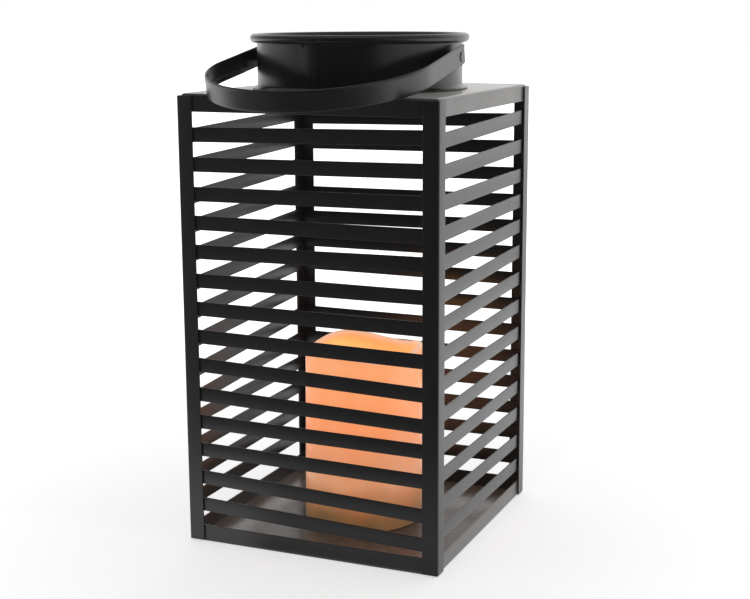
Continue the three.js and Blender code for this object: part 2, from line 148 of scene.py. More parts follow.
# Spots in the coat's colour: (centre, size along each axis)
SCRATCH_COLOUR = (0.022, 0.022, 0.022)
SCRATCHES = [
    ((-0.0600, -0.0945, 0.0080), (0.0004, 0.003, 0.0034)),
    ((-0.0560, -0.0945, 0.0075), (0.0004, 0.003, 0.0030)),
]
CHIP_COLOUR = (0.55, 0.53, 0.50)
CHIPS = [
    ((0.0550, -0.0535, 0.0010), (0.0015, 0.0009, 0.002)),
    ((0.0595, -0.0550, 0.0010), (0.0008, 0.0007, 0.002)),
]
# A near-black spot on the tray floor, inside near the right side
DARK_COLOUR = (0.001, 0.001, 0.001)
DARK_MARKS = [
    ((0.0815, -0.0015, 0.0010), (0.0009, 0.0012, 0.002)),
]

# The room's brightness, from right behind the camera (0) to straight ahead at the backdrop (1)
BACKDROP = math.radians(92)
ROOM_PEAK = 1.7
ROOM = [(0.0, 0.0), (0.13, 0.02), (0.37, 0.20), (0.70, 0.42), (0.88, 1.15), (1.0, 1.5)]
CEILING = 0.45
FLOOR_HALF = 12
# The floor's painted glow, weaker near the lantern and brighter away from it
FLOOR_FADE = (0.15, 0.9)
FLOOR_NEAR_GLOW = 0.60
FLOOR_FAR_GLOW = 1.15

# Painted reflections: these glowing cards show only in the metal's reflections
# The cards over the floor that only reflections show. Their glow goes by the distance from the
# middle of the lantern: forward for the front card, any way for the side card.
CARD_LEVEL = 0.0006
CARD_NEAR = 0.0955
FRONT_FAR = 11.5
FRONT_NEAR_HALF = 1.5
FRONT_FAR_HALF = 8
FRONT_GLOW = [(0.10, 0.34), (0.15, 0.50), (0.24, 0.38), (0.36, 0.09), (0.9, 0.07), (1.0, 0.03)]
SIDE_START = -0.09
SIDE_WIDTH = 1.0
SIDE_DEPTH = 3.0
SIDE_PEAK = 1.35
SIDE_GLOW = [(0.12, 0.9), (0.35, 1.35), (0.8, 1.35), (1.0, 1.2)]

CAMERA_PLACE = (0.4130, -0.9417, 0.3744)
CAMERA_YAW = math.radians(23.18)
CAMERA_PITCH = math.radians(11.50)
CAMERA_ROLL = math.radians(-0.29)
CAMERA_LENS = 68.976
CAMERA_SENSOR = 36
CAMERA_CLIP = 0.01


# ---------------------------------------------------------------- mesh helpers

def smooth(low, high, value):
    """0 below low, 1 above high, and a smooth step between them."""
    t = min(1.0, max(0.0, (value - low) / (high - low)))
    return t * t * (3 - 2 * t)


def wander(x, y=0.0, z=0.0):
    """Smooth, repeatable noise from -1 to 1."""
    return noise.noise(Vector((x, y, z)))


def quarter_arc(steps, first=0):
    """Angles from 0 to a quarter turn, from the given step on."""
    return [QUARTER * k / steps for k in range(first, steps + 1)]


def finish_mesh(name, bm, sharp=SHARP):
    """Turns a bmesh into a linked object, shaded smooth except across edges sharper than the angle."""
    bmesh.ops.recalc_face_normals(bm, faces=bm.faces)
    for edge in bm.edges:
        if len(edge.link_faces) == 2 and edge.calc_face_angle(0) > math.radians(sharp):
            edge.smooth = False
    for face in bm.faces:
        face.smooth = True
    mesh = bpy.data.meshes.new(name)
    bm.to_mesh(mesh)
    bm.free()
    piece = bpy.data.objects.new(name, mesh)
    bpy.context.scene.collection.objects.link(piece)
    return piece


def loft(name, rings, closed_path=False, sharp=SHARP):
    """A skin over rings of points. A closed path joins the last ring to the first. Without one, the
    first and last rings are capped."""
    bm = bmesh.new()
    loops = [[bm.verts.new(point) for point in ring] for ring in rings]
    count = len(rings[0])
    pairs = list(zip(loops, loops[1:]))
    if closed_path:
        pairs.append((loops[-1], loops[0]))
    for first, second in pairs:
        for i in range(count):
            j = (i + 1) % count
            bm.faces.new((first[i], first[j], second[j], second[i]))
    if not closed_path:
        bm.faces.new(list(reversed(loops[0])))
        bm.faces.new(loops[-1])
    return finish_mesh(name, bm, sharp)


def lathe(name, profile, segments=96, shape=None, sharp=SHARP):
    """A profile of (radius, height) turned about Z. Points on the axis close the ends.
    shape(point, angle) may move each point."""
    bm = bmesh.new()
    nothing = 1e-7
    columns = []
    on_axis = {}
    for i in range(segments):
        angle = TAU * i / segments
        column = []
        for k, (radius, height) in enumerate(profile):
            if radius < nothing:
                if k not in on_axis:
                    on_axis[k] = bm.verts.new((0, 0, height))
                column.append(on_axis[k])
                continue
            point = Vector((radius * math.cos(angle), radius * math.sin(angle), height))
            column.append(bm.verts.new(shape(point, angle) if shape else point))
        columns.append(column)
    for i in range(segments):
        first, second = columns[i], columns[(i + 1) % segments]
        for k in range(len(profile) - 1):
            corners = [first[k], second[k], second[k + 1], first[k + 1]]
            corners = [v for n, v in enumerate(corners) if v not in corners[:n]]
            if len(corners) > 2:
                bm.faces.new(corners)
    closed = (Vector(profile[0]) - Vector(profile[-1])).length < nothing
    if closed and profile[0][0] > nothing:
        bmesh.ops.remove_doubles(bm, verts=bm.verts, dist=nothing)
    return finish_mesh(name, bm, sharp)


def rounded(points, radius, steps=3):
    """A closed profile with its corners rounded."""
    out = []
    count = len(points)
    for i, point in enumerate(points):
        corner = Vector(point)
        before = Vector(points[i - 1]) - corner
        after = Vector(points[(i + 1) % count]) - corner
        reach = min(radius, before.length * 0.49, after.length * 0.49)
        start = corner + before.normalized() * reach
        end = corner + after.normalized() * reach
        for k in range(steps + 1):
            t = k / steps
            bend = (1 - t) ** 2 * start + 2 * t * (1 - t) * corner + t * t * end
            out.append(tuple(bend))
    return out


def apply_modifiers(piece):
    graph = bpy.context.evaluated_depsgraph_get()
    baked = bpy.data.meshes.new_from_object(piece.evaluated_get(graph))
    piece.modifiers.clear()
    old = piece.data
    piece.data = baked
    bpy.data.meshes.remove(old)
    return piece


def softened(node, name, width):
    """A finer copy of a CAD node: flat faces made whole again and every sharp edge rounded."""
    source = frame["nodes"][node]
    bm = bmesh.new()
    bm.from_mesh(source.data)
    bmesh.ops.remove_doubles(bm, verts=bm.verts, dist=1e-6)
    bmesh.ops.dissolve_limit(bm, angle_limit=math.radians(1), verts=bm.verts, edges=bm.edges)
    piece = finish_mesh(name, bm)
    bevel = piece.modifiers.new("bevel", "BEVEL")
    bevel.width = width
    bevel.segments = 2
    bevel.limit_method = "ANGLE"
    bevel.angle_limit = math.radians(SHARP)
    bevel.harden_normals = True
    return apply_modifiers(piece)


def stand_for(piece, node, body, material):
    """Finishes a piece: gives it its material, hangs it on the body that it rides on and hides the CAD node
    that it stands for.
    """
    piece.data.materials.clear()
    piece.data.materials.append(material)
    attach(piece, body)
    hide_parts(node)


# ---------------------------------------------------------------- material helpers

class Shader:
    """A node tree with short calls for the nodes that are used here."""

    def __init__(self, tree):
        self.tree = tree

    def node(self, kind, **settings):
        made = self.tree.nodes.new(kind)
        for key, value in settings.items():
            setattr(made, key, value)
        return made

    def link(self, source, target):
        self.tree.links.new(source, target)

    def put(self, target, value):
        """Links a node's output to a socket, or sets a plain value on it."""
        if isinstance(value, bpy.types.NodeSocket):
            self.link(value, target)
        elif isinstance(value, (tuple, list)) and len(value) == 3 and len(target.default_value) == 4:
            target.default_value = (*value, 1)
        else:
            target.default_value = value

    def place(self, scale=(1, 1, 1)):
        """The point's place on the object in metres, stretched by the scale."""
        coords = self.node("ShaderNodeTexCoord")
        mapping = self.node("ShaderNodeMapping")
        mapping.inputs["Scale"].default_value = scale
        self.link(coords.outputs["Object"], mapping.inputs["Vector"])
        return mapping.outputs["Vector"]

    def normal(self):
        return self.node("ShaderNodeNewGeometry").outputs["Normal"]

    def noise(self, scale, detail=2.0, roughness=0.5, vector=None):
        made = self.node("ShaderNodeTexNoise")
        made.inputs["Scale"].default_value = scale
        made.inputs["Detail"].default_value = detail
        made.inputs["Roughness"].default_value = roughness
        self.link(vector or self.place(), made.inputs["Vector"])
        return made.outputs["Fac"]

    def ramp(self, value, *stops):
        """A colour ramp. Each stop is (position, number or colour)."""
        made = self.node("ShaderNodeValToRGB")
        elements = made.color_ramp.elements
        while len(elements) < len(stops):
            elements.new(0.5)
        for element, (position, colour) in zip(elements, stops):
            element.position = position
            shade = (colour,) * 3 if isinstance(colour, (int, float)) else colour
            element.color = (*shade, 1)
        self.put(made.inputs["Fac"], value)
        return made.outputs["Color"]

    def math(self, operation, first, second=None, third=None):
        made = self.node("ShaderNodeMath", operation=operation)
        for socket, value in zip(made.inputs, (first, second, third)):
            if value is not None:
                self.put(socket, value)
        return made.outputs["Value"]

    def vector(self, operation, first, second=None):
        """Vector arithmetic on a socket and a constant. Gives a number for a length or a dot product."""
        made = self.node("ShaderNodeVectorMath", operation=operation)
        self.link(first, made.inputs[0])
        if second is not None:
            made.inputs[1].default_value = second
        return made.outputs["Value" if operation in ("LENGTH", "DOT_PRODUCT") else "Vector"]

    def mix(self, share, first, second, blend="MIX"):
        made = self.node("ShaderNodeMix", data_type="RGBA", blend_type=blend)
        self.put(made.inputs[0], share)
        self.put(made.inputs[6], first)
        self.put(made.inputs[7], second)
        return made.outputs[2]

    def axis(self, name, vector=None):
        made = self.node("ShaderNodeSeparateXYZ")
        self.link(vector or self.place(), made.inputs["Vector"])
        return made.outputs[name]

    def spread(self, value, low, high, to_low=0.0, to_high=1.0):
        """A smooth step from to_low at low to to_high at high."""
        made = self.node("ShaderNodeMapRange", interpolation_type="SMOOTHSTEP")
        for socket, number in zip(made.inputs, (value, low, high, to_low, to_high)):
            self.put(socket, number)
        return made.outputs["Result"]

    def marks(self, places):
        """Small soft spots, each (centre, size along each axis) in metres."""
        strongest = None
        for centre, size in places:
            offset = self.vector("SUBTRACT", self.place(), centre)
            distance = self.vector("LENGTH", self.vector("DIVIDE", offset, size))
            spot = self.spread(distance, 1.0, 0.5)
            strongest = spot if strongest is None else self.math("MAXIMUM", strongest, spot)
        return strongest

    def bump(self, height, strength, distance, normal=None):
        made = self.node("ShaderNodeBump")
        made.inputs["Strength"].default_value = strength
        made.inputs["Distance"].default_value = distance
        self.link(height, made.inputs["Height"])
        if normal:
            self.link(normal, made.inputs["Normal"])
        return made.outputs["Normal"]


class Finish(Shader):
    """A new material, with its node tree and its surface shader."""

    def __init__(self, name):
        self.material = bpy.data.materials.new(name)
        self.material.use_nodes = True
        super().__init__(self.material.node_tree)
        self.surface = self.tree.nodes["Principled BSDF"]

    def set(self, **values):
        """Sets the surface shader's sockets, named with underscores for spaces."""
        for key, value in values.items():
            self.put(self.surface.inputs[key.replace("_", " ")], value)


# ---------------------------------------------------------------- materials

def powder_coat(name, dust_amount, top_roughness):
    """Black powder coat over pressed sheet: orange peel, faint unevenness, dust and small marks, with a faint
    painted glow for the veil of light over black.
    """
    s = Finish(name)
    grain = s.noise(1400, 2, 0.6)
    peel = s.noise(420, 1, 0.5)
    ripple = s.noise(28, 1, 0.4)
    patches = s.noise(60, 4, 0.65)
    colour = s.mix(s.ramp(patches, (0.35, 0.0), (0.75, 1.0)), COAT_DARK, COAT_LIGHT)
    up = s.spread(s.axis("Z", s.normal()), 0.7, 1.0)
    dust = s.math("MULTIPLY", s.ramp(s.noise(90, 5, 0.7), (0.3, 0.4), (0.8, 1.0)), up)
    colour = s.mix(s.math("MULTIPLY", dust, dust_amount), colour, DUST)
    colour = s.mix(s.marks(SCRATCHES), colour, SCRATCH_COLOUR)
    colour = s.mix(s.marks(CHIPS), colour, CHIP_COLOUR)
    colour = s.mix(s.marks(DARK_MARKS), colour, DARK_COLOUR)
    upward = s.math("MULTIPLY", up, top_roughness - COAT_ROUGHNESS)
    uneven = s.ramp(patches, (0.3, COAT_ROUGHNESS), (0.8, COAT_ROUGHNESS + 0.06))
    normal = s.bump(ripple, 0.12, 1.2 * MM)
    normal = s.bump(peel, 0.10, 0.18 * MM, normal)
    normal = s.bump(grain, 0.08, 0.06 * MM, normal)
    s.set(
        Base_Color=colour,
        Roughness=s.math("ADD", uneven, upward),
        Normal=normal,
        IOR=1.6,
        # a faint painted glow stands in for the veil of light over black
        Emission_Color=WHITE,
        Emission_Strength=PAINTED_VEIL_GLOW,
    )
    return s


def black_steel():
    return powder_coat("black_powder_coat", 0.035, COAT_ROUGHNESS).material


def dusty_steel(name, dust_amount, sheen, top_roughness):
    """The powder coat where dust lies, which lights up when it is seen at a low angle."""
    s = powder_coat(name, dust_amount, top_roughness)
    s.set(Sheen_Weight=sheen, Sheen_Roughness=0.35, Sheen_Tint=(1.0, 0.95, 0.89))
    return s.material


def wax_glow(s, low, high, mottle):
    """The light that comes out of the wax: orange walls that fade towards the base, a yellow hollow
    and a pale lip."""
    place = s.place()
    height = s.axis("Z", place)
    streaks = s.noise(60, 3, 0.6, s.place((1, 1, 0.25)))
    share = s.math("ADD", s.spread(height, low, high), s.math("MULTIPLY_ADD", mottle, 0.06, -0.03))
    wall = s.ramp(
        share,
        (0.0, (0.10, 0.060, 0.022)),
        (0.05, (0.27, 0.11, 0.032)),
        (0.17, (0.54, 0.245, 0.115)),
        (0.40, (0.66, 0.235, 0.088)),
        (0.70, (0.85, 0.255, 0.068)),
        (1.0, (0.83, 0.31, 0.105)),
    )
    wall = s.mix(s.ramp(streaks, (0.35, 0.0), (0.75, 0.5)), wall, (0.80, 0.30, 0.12), "SOFT_LIGHT")
    radius = s.vector("LENGTH", s.vector("MULTIPLY", place, FLAT))
    inside = s.math("MULTIPLY", s.spread(radius, *HOLLOW_RADIUS), s.spread(height, *HOLLOW_HEIGHT))
    glow = s.mix(inside, wall, (0.93, 0.47, 0.13))
    up = s.spread(s.axis("Z", s.normal()), 0.1, 0.5)
    crest = s.math("MULTIPLY", up, s.spread(height, *CREST_HEIGHT))
    return s.mix(s.math("MULTIPLY", crest, 0.85), glow, (0.72, 0.42, 0.29))


def candle_wax(low, high):
    """Wax lit from inside, between two heights."""
    s = Finish("lit_wax")
    mottle = s.noise(45, 3, 0.55)
    s.set(
        Base_Color=s.mix(s.ramp(mottle, (0.3, 0.0), (0.7, 1.0)), (0.42, 0.31, 0.24), (0.48, 0.36, 0.28)),
        Roughness=s.ramp(s.noise(200, 3, 0.6), (0.3, 0.28), (0.7, 0.36)),
        Emission_Color=wax_glow(s, low, high, mottle),
        Emission_Strength=1.0,
        IOR=1.6,
        Sheen_Weight=1.0,
        Sheen_Roughness=0.22,
        Sheen_Tint=(1.0, 0.82, 0.76),
        Normal=s.bump(s.noise(70, 3, 0.5), 0.2, 0.8 * MM),
    )
    return s.material


def moulded_plastic(name, light, dark, roughness):
    s = Finish(name)
    cloud = s.ramp(s.noise(80, 3, 0.6), (0.35, 0.0), (0.7, 1.0))
    s.set(
        Base_Color=s.mix(cloud, dark, light),
        Roughness=s.ramp(s.noise(240, 2, 0.5), (0.3, roughness - 0.05), (0.7, roughness + 0.06)),
        Normal=s.bump(s.noise(2200, 2, 0.6), 0.25, 0.04 * MM),
    )
    return s.material


def plated_metal():
    s = Finish("plated_contact_metal")
    drawn = s.noise(300, 3, 0.6, s.place((1, 6, 1)))
    s.set(
        Base_Color=s.mix(s.ramp(drawn, (0.3, 0.0), (0.7, 1.0)), (0.52, 0.51, 0.48), (0.68, 0.67, 0.64)),
        Metallic=1.0,
        Roughness=s.ramp(drawn, (0.3, 0.22), (0.7, 0.38)),
        Normal=s.bump(drawn, 0.1, 0.03 * MM),
    )
    return s.material


def battery_jacket():
    """A plain two-tone foil jacket: a dark body and coppery ends."""
    s = Finish("battery_jacket")
    body_half = 14.5 * MM
    band = s.math("GREATER_THAN", s.math("ABSOLUTE", s.axis("X")), body_half)
    streaks = s.noise(120, 3, 0.6, s.place((1, 8, 8)))
    foil = s.mix(band, (0.02, 0.05, 0.08), (0.42, 0.2, 0.07))
    s.set(
        Base_Color=s.mix(s.ramp(streaks, (0.3, 0.0), (0.8, 0.4)), foil, (0.3, 0.3, 0.3)),
        Metallic=0.5,
        Roughness=s.ramp(streaks, (0.3, 0.22), (0.7, 0.34)),
    )
    return s.material


def amber_lens():
    s = Finish("amber_lens")
    s.set(
        Base_Color=s.ramp(s.noise(300, 2, 0.5), (0.3, (0.9, 0.45, 0.08)), (0.7, (1.0, 0.6, 0.15))),
        Roughness=0.12,
        Emission_Color=s.ramp(s.noise(120, 1, 0.5), (0.3, (1.0, 0.55, 0.12)), (0.7, (1.0, 0.68, 0.22))),
        Emission_Strength=3.0,
    )
    return s.material


# ---------------------------------------------------------------- plate and tray

def collar_middle():
    """The middle of the collar, which sits a little to one side of the plate's."""
    low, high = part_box("collar")
    return Vector(((low.x + high.x) / 2, (low.y + high.y) / 2))


def turned(points, quarter):
    """Points laid out for one face, turned about Z by a number of quarter turns."""
    turn = Matrix.Rotation(quarter * QUARTER, 3, "Z")
    return [turn @ Vector(point) for point in points]


def pan_ring(half, inset, height, arc=6, side=14):
    """A rounded square ring of points at a height. Its corners are tighter further in."""
    corner = max(PAN_CORNER - inset * 0.6, PAN_CORNER_LEAST)
    reach = half - inset
    inner = reach - corner
    edge = [(reach, -inner + 2 * inner * k / side, height) for k in range(side)]
    for k in range(arc):
        angle = QUARTER * k / arc
        edge.append((inner + corner * math.cos(angle), inner + corner * math.sin(angle), height))
    return [point for quarter in range(4) for point in turned(edge, quarter)]


def to_circle(ring, middle, radius, share):
    """Moves a square ring towards a circle about the middle, by a share."""
    out = []
    for point in ring:
        flat = Vector((point.x, point.y))
        target = middle + (flat - middle).normalized() * radius
        mixed = flat.lerp(target, share)
        out.append(Vector((mixed.x, mixed.y, point.z)))
    return out


def pan_section(depth, bend):
    """The section of a pressed pan, open below: (inset from the side, height) from the flange's outer
    face, over the bend to just past it, and back along the inside."""
    arc = 6
    outer = [(0.0, PAN_EDGE), (0.0, depth - bend)]
    for angle in quarter_arc(arc, 1):
        outer.append((bend * (1 - math.cos(angle)), depth - bend * (1 - math.sin(angle))))
    outer.append((bend + SHEET, depth))
    inner_bend = bend - SHEET
    inner = [(bend + SHEET, depth - SHEET)]
    for angle in reversed(quarter_arc(arc)):
        inner.append((bend - inner_bend * math.cos(angle), depth - bend + inner_bend * math.sin(angle)))
    inner += [(SHEET, PAN_EDGE), (SHEET * 0.75, 0.0), (SHEET * 0.25, 0.0)]
    return outer, inner


def top_plate(material):
    """The pressed top plate, with rounded bends, rounded corners and a round opening."""
    low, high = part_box("top_plate")
    middle = collar_middle()
    outer, inner = pan_section(high.z - low.z, PLATE_BEND)
    rings = [pan_ring(high.x, inset, low.z + height) for inset, height in outer]
    flat = rings[-1]
    steps = 8
    for k in range(1, steps + 1):
        ring = to_circle(flat, middle, COLLAR_INNER, k / steps)
        for point in ring:
            point.z += PLATE_RIPPLE * (wander(point.x * 25, point.y * 25) - 0.3)
        rings.append(ring)
    below = pan_ring(high.x, inner[0][0], low.z + inner[0][1])
    for k in range(steps, 0, -1):
        rings.append(to_circle(below, middle, COLLAR_INNER, k / steps))
    rings += [pan_ring(high.x, inset, low.z + height) for inset, height in inner]
    piece = loft("pressed_top_plate", rings, closed_path=True)
    stand_for(piece, "top_plate", "lantern", material)


def bottom_tray(material):
    """The pressed tray: a floor with its rim turned up."""
    low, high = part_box("bottom_tray")
    outer, inner = pan_section(high.z - low.z, TRAY_BEND)
    floor_shares = (0.02, 0.2, 0.4, 0.6, 0.8, 0.93)

    def ring(inset, height, grow=1.0):
        points = pan_ring(high.x, inset, 0)
        return [Vector((point.x * grow, point.y * grow, high.z - height)) for point in points]

    rings = [ring(*inner[0], share) for share in floor_shares]
    rings += [ring(inset, height) for inset, height in inner + outer]
    rings += [ring(*outer[-1], share) for share in reversed(floor_shares)]
    piece = loft("pressed_bottom_tray", rings)
    stand_for(piece, "bottom_tray", "lantern", material)


# ---------------------------------------------------------------- posts and slats

def corner_post(place, material):
    """A folded L-section post with its edges eased."""
    node = f"corner_post_{place}"
    piece = softened(node, f"folded_post_{place}", POST_EDGE)
    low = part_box(node)[0].z
    for vertex in piece.data.vertices:
        if vertex.co.z < low + MM:
            vertex.co.z += POST_FOOT_RISE
    stand_for(piece, node, "lantern", material)


def slat_levels(node, axis):
    """How far a CAD panel reaches from its middle, and each slat's lower and upper edge at its two ends."""
    near = 0.1 * MM
    points = [vertex.co for vertex in frame["nodes"][node].data.vertices]
    end = max(abs(point[axis]) for point in points)
    inner = max(abs(point[axis]) for point in points if abs(point[axis]) < end - MM)
    levels = []
    for side in (-1, 1):
        outer_z = [point.z for point in points if abs(point[axis] - side * end) < near]
        inner_z = sorted({round(point.z, 6) for point in points if abs(point[axis] - side * inner) < near})
        heights = [min(outer_z), *inner_z, max(outer_z)]
        levels.append(list(zip(heights[0::2], heights[1::2])))
    return end, levels[0], levels[1]


def slat(face, index, end, left, right, outside):
    """The rings of one flat strip with rounded edges, a little bowed, which ends behind the posts."""
    seed = index * 3.7 + FACES[face] * 11.3
    stations = 20
    rings = []
    for k in range(stations + 1):
        share = k / stations
        middle = math.sin(math.pi * share)
        bow = SLAT_BOW * wander(share * 2.2, seed) * middle
        sag = SLAT_SAG * wander(share * 1.6, seed + 50) * middle
        bottom = left[0] + (right[0] - left[0]) * share + sag
        top = left[1] + (right[1] - left[1]) * share + sag
        outer = outside + bow
        inner = outer - SHEET
        section = rounded([(outer, bottom), (outer, top), (inner, top), (inner, bottom)], SLAT_EDGE)
        along = -end + 2 * end * share
        rings.append(turned([(along, -depth, height) for depth, height in section], FACES[face]))
    return rings


def slat_panel(face, material):
    """One side's slats, as separate strips."""
    node = f"slat_panel_{face}"
    axis = 0 if face in ("front", "back") else 1
    end, first, second = slat_levels(node, axis)
    low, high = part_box(node)
    outside = max(abs(low[1 - axis]), abs(high[1 - axis]))
    swapped = face in ("back", "left")
    left, right = (second, first) if swapped else (first, second)
    for index, (a, b) in enumerate(zip(left, right)):
        piece = loft(f"slat_{face}_{index + 1:02d}", slat(face, index, end, a, b, outside))
        stand_for(piece, node, "lantern", material)


# ---------------------------------------------------------------- collar

def collar_section(low, high, radius):
    """The collar's closed section: foot, wall and rolled rim, as (radius, height, part) points. Also
    the rolled rim's own radius, its middle's radius and its middle's height."""
    inner, outer = COLLAR_INNER, COLLAR_INNER + SHEET
    bead = (radius - inner) / 2
    middle = inner + bead
    level = high - bead
    ease = 0.3 * MM
    points = [
        (inner, low, "inside"),
        (COLLAR_FOOT - ease, low, "foot"),
        (COLLAR_FOOT, low + ease, "foot"),
        (COLLAR_FOOT, low + SHEET - ease, "foot"),
        (COLLAR_FOOT - 0.35 * MM, low + SHEET, "foot"),
    ]
    wall_bottom = low + SHEET + COLLAR_BEND
    for angle in quarter_arc(8):
        rise = COLLAR_BEND * math.cos(angle)
        points.append((outer + COLLAR_BEND * (1 - math.sin(angle)), wall_bottom - rise, "wall"))
    wall_top = level - bead * 0.9
    wall_steps = 8
    for k in range(1, wall_steps + 1):
        points.append((outer, wall_bottom + (wall_top - wall_bottom) * k / wall_steps, "wall"))
    start = math.pi + math.acos((middle - outer - 0.2 * MM) / bead)
    end = 3 * math.pi
    bead_steps = 22
    for k in range(bead_steps + 1):
        angle = start + (end - start) * k / bead_steps
        points.append((middle + bead * math.cos(angle), level + bead * math.sin(angle), "bead"))
    for k in range(1, wall_steps):
        points.append((inner, level + (low - level) * k / wall_steps, "inside"))
    return points, bead, middle, level


def collar(material):
    """The rolled collar. Its left end laps over its right end at the front, and the rim is hand rolled."""
    low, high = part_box("collar")
    centre = collar_middle()
    section, bead, middle, level = collar_section(low.z, high.z, (high.x - low.x) / 2)
    angles = [SEAM + SEAM_START]
    angles += [SEAM + TAU * k / COLLAR_STEPS for k in range(1, COLLAR_STEPS)]
    angles.append(SEAM + TAU - SEAM_END)
    rings = []
    for angle in angles:
        across, along = math.cos(angle), math.sin(angle)
        turn = angle - SEAM
        back = TAU - turn
        raised = LAP_RISE * (1 - smooth(0.35 * LAP, LAP, back))
        notch = NOTCH * (1 - smooth(0, NOTCH_REACH, min(turn, back)))
        sag = SEAM_SAG * (1 - smooth(0, SEAM_SAG_REACH, back))
        lip = wander(across * 1.6 + 5, along * 1.6, 2.0)
        ring = []
        for r, z, part in section:
            if part == "wall":
                r += raised + COLLAR_RIPPLE * wander(across * 3, along * 3, z * 30)
            if part == "bead":
                down = max(0.0, (level - z) / bead)
                outside = smooth(COLLAR_INNER, middle, r)
                z += down * outside * (BEAD_WAVE * lip - BEAD_DROOP - sag)
                r += outside * (min(0.0, BEAD_DENT * lip) - notch)
            ring.append(Vector((centre.x + r * across, centre.y + r * along, z)))
        rings.append(ring)
    piece = loft("rolled_collar", rings, closed_path=True, sharp=50)
    stand_for(piece, "collar", "lantern", material)


# ---------------------------------------------------------------- handle

def handle_pivot():
    """The middle of the handle's hinge line."""
    return Vector(next(joint["pos_m"] for joint in frame["joints"] if joint["name"] == "handle_swing"))


def reach_from(pivot, node):
    """How near to the middle and how far from it a part reaches along the hinge line."""
    low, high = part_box(node)
    return sorted((abs(low.x - pivot.x), abs(high.x - pivot.x)))


def strap_path(half, steps=60, arm_steps=14):
    """The handle's middle line, from one pivot's tail round to the other, in its own plane.
    Gives (point, outward direction) pairs."""
    bow = STRAP_BOW - STRAP_SHEET / 2
    arm = [STRAP_TAIL - (STRAP_ARM + STRAP_TAIL) * k / arm_steps for k in range(arm_steps)]
    line = [(Vector((half, along)), Vector((1, 0))) for along in arm]
    for k in range(steps + 1):
        angle = -math.pi * k / steps
        point = Vector((half * math.cos(angle), -STRAP_ARM + bow * math.sin(angle)))
        normal = Vector((bow * math.cos(angle), half * math.sin(angle))).normalized()
        line.append((point, normal))
    line += [(Vector((-half, along)), Vector((-1, 0))) for along in reversed(arm)]
    return line


def strap_section(hem):
    """The strap's section: (outward, up). The lower edge is folded inward as a hem."""
    half, width = STRAP_SHEET / 2, STRAP_WIDTH / 2
    fold = HEM_FOLD * hem
    bottom = [
        (-half, -width + 3.9 * MM),
        (-half - fold * 0.25, -width + 3.75 * MM),
        (-half - fold, -width + 3.5 * MM),
        (-half - fold, -width + 0.8 * MM),
        (-half - fold * 0.6, -width + 0.15 * MM),
        (-half * 0.3 - fold * 0.4, -width),
    ]
    face_start = -width + 0.9 * MM
    face_length = 2 * width - 1.7 * MM
    outer = [(half * 0.35, -width + 0.1 * MM), (half * 0.8, -width + 0.4 * MM)]
    outer += [(half, face_start + face_length * k / 8) for k in range(8)]
    top = [
        (half, width - 0.8 * MM),
        (half * 0.8, width - 0.35 * MM),
        (half * 0.3, width - 0.05 * MM),
        (-half * 0.3, width),
        (-half, width - 0.35 * MM),
    ]
    return bottom + outer + top


def handle_strap(material):
    """The strap at its tilt, with a hem along its bow. Its left arm slopes a little."""
    low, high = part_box("handle_strap")
    pivot = handle_pivot()
    half = (high.x - low.x) / 2 - STRAP_SHEET / 2
    tilt = Matrix.Rotation(HANDLE_TILT, 3, "X")
    line = strap_path(half)
    total = sum((b[0] - a[0]).length for a, b in zip(line, line[1:]))
    travelled = 0.0
    last = line[0][0]
    rings = []
    for point, normal in line:
        travelled += (point - last).length
        last = point
        from_end = min(travelled, total - travelled)
        hem = smooth(HEM_START, HEM_FULL, from_end)
        ease = 1.0 - 0.10 * (1 - smooth(0, 1.6 * MM, from_end))
        wobble = STRAP_WOBBLE * wander(travelled * 22, 4.0) * smooth(20 * MM, 50 * MM, from_end)
        ring = []
        for out, up in strap_section(hem):
            spot = point + normal * (out + wobble)
            slope = max(0.0, (spot.y + STRAP_ARM) / STRAP_ARM) if spot.x < 0 else 0.0
            lift = STRAP_SKEW * (1 - 2 * slope)
            ring.append(pivot + tilt @ Vector((spot.x, spot.y, up * ease + lift)))
        rings.append(ring)
    piece = loft("hemmed_handle_strap", rings, sharp=40)
    stand_for(piece, "handle_strap", "handle", material)


def rivet_profile(near, far, strap_out):
    """A shoulder rivet's (radius, distance from the middle): burr, shank and domed head."""
    ease = 0.2 * MM
    burr = near + BURR_HEIGHT
    far = min(far, strap_out + RIVET_HEAD)
    profile = [
        (0, near),
        (2.6 * MM, near),
        (3.2 * MM, near + ease),
        (BURR_RADIUS, near + 0.7 * MM),
        (BURR_RADIUS, burr - ease),
        (3.3 * MM, burr),
        (RIVET_SHANK, burr),
        (RIVET_SHANK, strap_out),
        (3.3 * MM, strap_out),
        (RIVET_HEAD_RADIUS, strap_out + ease),
    ]
    for angle in quarter_arc(6, 1)[:-1]:
        rise = (far - strap_out - ease) * math.sin(angle)
        profile.append((RIVET_HEAD_RADIUS * math.cos(angle), strap_out + ease + rise))
    profile.append((0, far))
    return profile


def pivot_pieces(place, side, material):
    """The shoulder rivet and the spacer that hold one end of the handle."""
    pivot = handle_pivot()
    near, far = reach_from(pivot, f"pivot_rivet_{place}")
    strap_out = reach_from(pivot, "handle_strap")[1] + 0.1 * MM
    rivet = lathe(f"shoulder_rivet_{place}", rivet_profile(near, far, strap_out), 48)
    near, far = reach_from(pivot, f"pivot_spacer_{place}")
    corners = [(SPACER_INNER, near), (SPACER_OUTER, near), (SPACER_OUTER, far), (SPACER_INNER, far)]
    ring = rounded(corners, 0.3 * MM)
    spacer = lathe(f"spacer_{place}", ring + ring[:1], 48)
    for piece, node in ((rivet, "pivot_rivet"), (spacer, "pivot_spacer")):
        piece.data.transform(Matrix.Translation(pivot) @ Matrix.Rotation(side * QUARTER, 4, "Y"))
        stand_for(piece, f"{node}_{place}", "lantern", material)


# ---------------------------------------------------------------- candle

